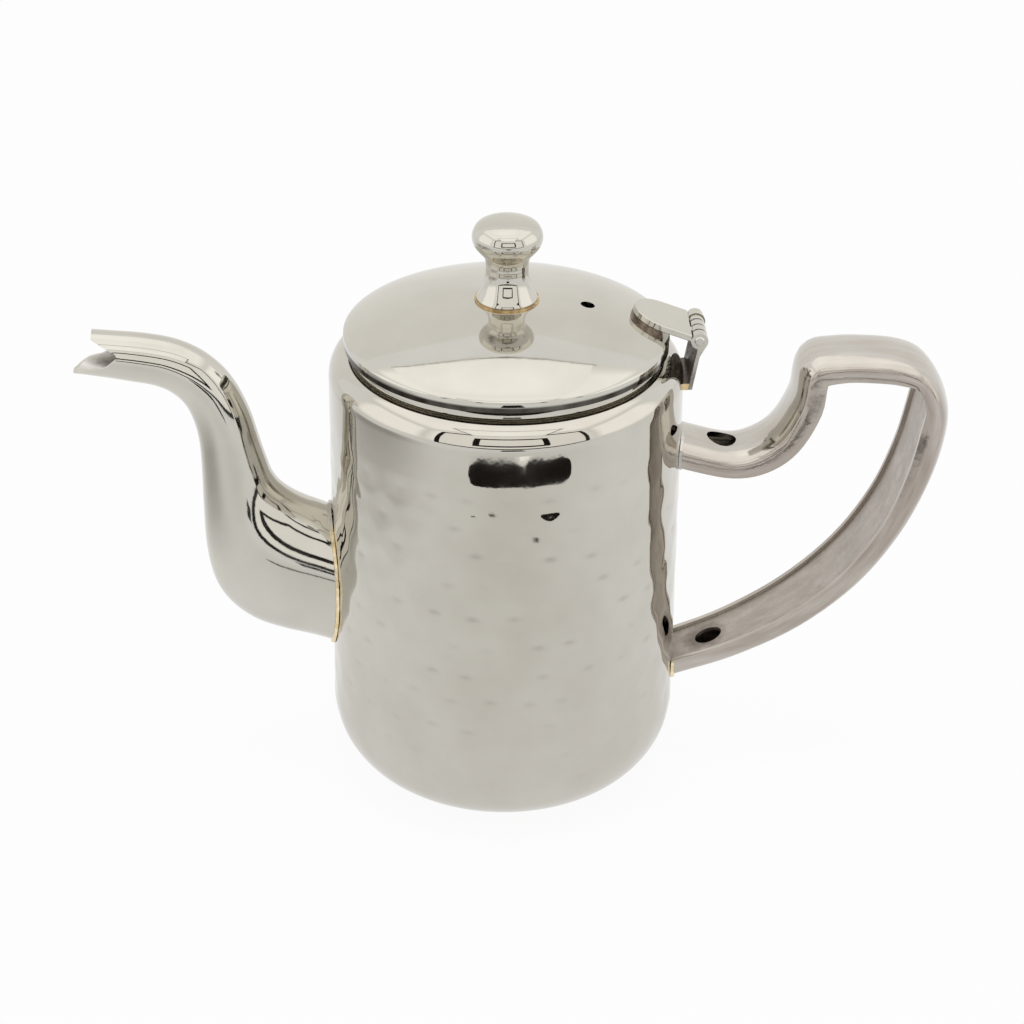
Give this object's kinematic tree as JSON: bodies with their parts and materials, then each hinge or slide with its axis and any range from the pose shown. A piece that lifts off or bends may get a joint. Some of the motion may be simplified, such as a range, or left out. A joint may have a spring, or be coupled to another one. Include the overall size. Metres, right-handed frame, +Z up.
{
  "type": "teapot",
  "caption": "Cylindrical metal teapot with a hammered wall, a hinged domed lid with a knob, a swan-neck spout and a hollow strap handle.",
  "frame": {"origin": "centre of the flat base, on the surface the teapot stands on", "axes": "+Z up, -X along the spout, +X along the handle and the hinge, Y across the pot, along the hinge pin"},
  "size_m": [0.2472, 0.1, 0.1739],
  "materials": {
    "body": "hammered and polished stainless steel",
    "spout_left_half": "mirror-polished stainless steel",
    "spout_right_half": "mirror-polished stainless steel",
    "spout_braze": "brass-coloured braze, smoothed by hand",
    "handle_shell": "mirror-polished stainless steel",
    "handle_strip": "matt brownish-grey stainless steel as rolled",
    "handle_upper_weld": "silvery weld, smoothed by hand",
    "handle_lower_braze": "brass-coloured braze",
    "lid": "polished stainless steel",
    "lid_flange": "plain stainless steel",
    "knob": "mirror-polished stainless steel",
    "knob_braze": "brass-coloured braze",
    "lid_hinge_leaf": "polished stainless steel",
    "lid_leaf_braze": "brass-coloured braze",
    "body_hinge_leaf": "polished stainless steel",
    "body_leaf_braze": "brass-coloured braze",
    "hinge_pin": "plain stainless steel wire"
  },
  "bodies": {
    "pot": {"body": "body", "spout_left_half": "spout_left_half", "spout_right_half": "spout_right_half", "spout_braze": "spout_braze", "handle_shell": "handle_shell", "handle_strip": "handle_strip", "handle_upper_weld": "handle_upper_weld", "handle_lower_braze": "handle_lower_braze", "body_hinge_leaf": "body_hinge_leaf", "body_leaf_braze": "body_leaf_braze", "hinge_pin": "hinge_pin"},
    "lid_assembly": {"lid": "lid", "lid_flange": "lid_flange", "knob": "knob", "knob_braze": "knob_braze", "lid_hinge_leaf": "lid_hinge_leaf", "lid_leaf_braze": "lid_leaf_braze"}
  },
  "joints": [
    {"name": "lid_hinge", "type": "hinge", "parent": "pot", "child": "lid_assembly", "pos_m": [0.0535, 0, 0.14019], "axis": [0, 1, 0], "range_deg": [0, 150]}
  ]
}
